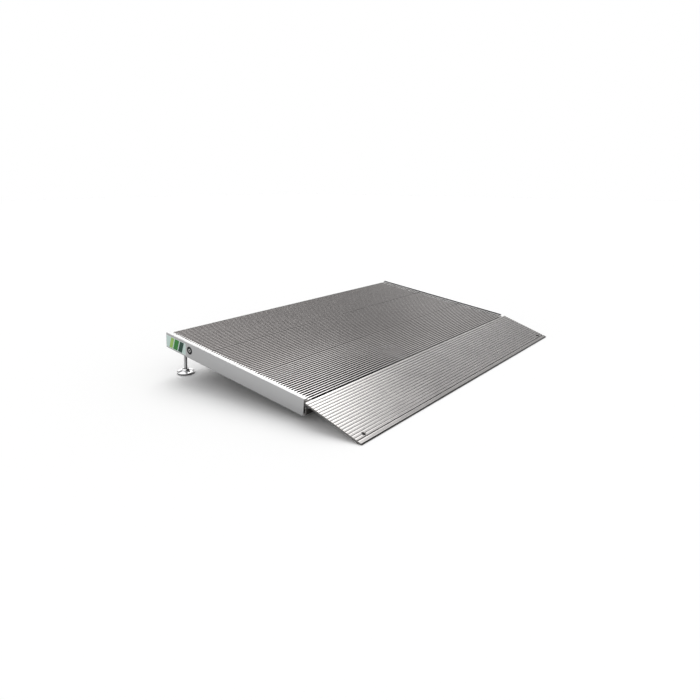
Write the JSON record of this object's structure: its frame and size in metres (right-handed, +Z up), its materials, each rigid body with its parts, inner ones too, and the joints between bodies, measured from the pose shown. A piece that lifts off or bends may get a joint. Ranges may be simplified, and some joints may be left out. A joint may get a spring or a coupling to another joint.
{
  "type": "threshold ramp",
  "caption": "Aluminium threshold ramp: ribbed planks between channel side rails, a hinged ribbed transition flap at the low edge and screw levelling legs with swivel feet at the high edge.",
  "frame": {"origin": "centre of the bounding box's bottom face, on the floor", "axes": "+X across the ramp to the right of someone going up, +Y up the slope towards the door, +Z up"},
  "size_m": [0.9144, 0.6, 0.1071],
  "materials": {
    "deck_aluminium": "mill finish, ribbed",
    "rail_aluminium": "satin",
    "flap_aluminium": "mill finish, grooved",
    "rivet_aluminium": "bright",
    "plated_steel": "zinc plated",
    "bright_steel": "bright plated",
    "nylon": "natural nylon",
    "rubber": "matt"
  },
  "bodies": {
    "deck": {"deck_plank_upper": "deck_aluminium", "deck_plank_middle": "deck_aluminium", "deck_plank_front": "deck_aluminium", "side_rail_left": "rail_aluminium", "side_rail_right": "rail_aluminium", "rail_rivets": "rivet_aluminium", "leg_plate_left": "plated_steel", "leg_plate_right": "plated_steel", "plate_rivets": "rivet_aluminium", "leg_bushing_left": "plated_steel", "leg_bushing_right": "plated_steel"},
    "flap": {"transition_flap": "flap_aluminium", "hinge_keeper_screws": "plated_steel"},
    "left_lock_nut": {"lock_nut_left": "plated_steel"},
    "left_ball_seat": {"ball_seat_left": "nylon"},
    "left_stud": {"leg_stud_left": "bright_steel"},
    "left_foot": {"foot_base_left": "bright_steel", "foot_ring_left": "plated_steel", "foot_pad_left": "rubber"},
    "right_lock_nut": {"lock_nut_right": "plated_steel"},
    "right_ball_seat": {"ball_seat_right": "nylon"},
    "right_stud": {"leg_stud_right": "bright_steel"},
    "right_foot": {"foot_base_right": "bright_steel", "foot_ring_right": "plated_steel", "foot_pad_right": "rubber"}
  },
  "joints": [
    {"name": "flap_hinge", "type": "hinge", "parent": "deck", "child": "flap", "pos_m": [0, -0.1619, 0.03682], "axis": [1, 0, 0], "range_deg": [0, 60]},
    {"name": "left_lock_nut_turn", "type": "hinge", "parent": "deck", "child": "left_lock_nut", "pos_m": [-0.421, 0.27031, 0.05789], "axis": [0, -0.1245, 0.9922], "range_deg": [-60, 0]},
    {"name": "left_leg_height", "type": "slide", "parent": "deck", "child": "left_ball_seat", "axis": [0, -0.1245, 0.9922], "range_m": [-0.01, 0.0155]},
    {"name": "left_stud_turn", "type": "hinge", "parent": "left_ball_seat", "child": "left_stud", "pos_m": [-0.421, 0.27662, 0.0076], "axis": [0, -0.1245, 0.9922], "range_deg": [-2890, 4475]},
    {"name": "left_foot_tilt", "type": "hinge", "parent": "left_ball_seat", "child": "left_foot", "pos_m": [-0.421, 0.27662, 0.0076], "axis": [1, 0, 0], "range_deg": [-6.85, 21.15]},
    {"name": "right_lock_nut_turn", "type": "hinge", "parent": "deck", "child": "right_lock_nut", "pos_m": [0.421, 0.27031, 0.05789], "axis": [0, -0.1245, 0.9922], "range_deg": [-60, 0]},
    {"name": "right_leg_height", "type": "slide", "parent": "deck", "child": "right_ball_seat", "axis": [0, -0.1245, 0.9922], "range_m": [-0.01, 0.0155]},
    {"name": "right_stud_turn", "type": "hinge", "parent": "right_ball_seat", "child": "right_stud", "pos_m": [0.421, 0.27662, 0.0076], "axis": [0, -0.1245, 0.9922], "range_deg": [-2890, 4475]},
    {"name": "right_foot_tilt", "type": "hinge", "parent": "right_ball_seat", "child": "right_foot", "pos_m": [0.421, 0.27662, 0.0076], "axis": [1, 0, 0], "range_deg": [-6.85, 21.15]}
  ],
  "couplings": [
    {"joint": "left_stud_turn", "follows": "left_leg_height", "rad_per_m": 5026.5},
    {"joint": "right_stud_turn", "follows": "right_leg_height", "rad_per_m": 5026.5}
  ]
}
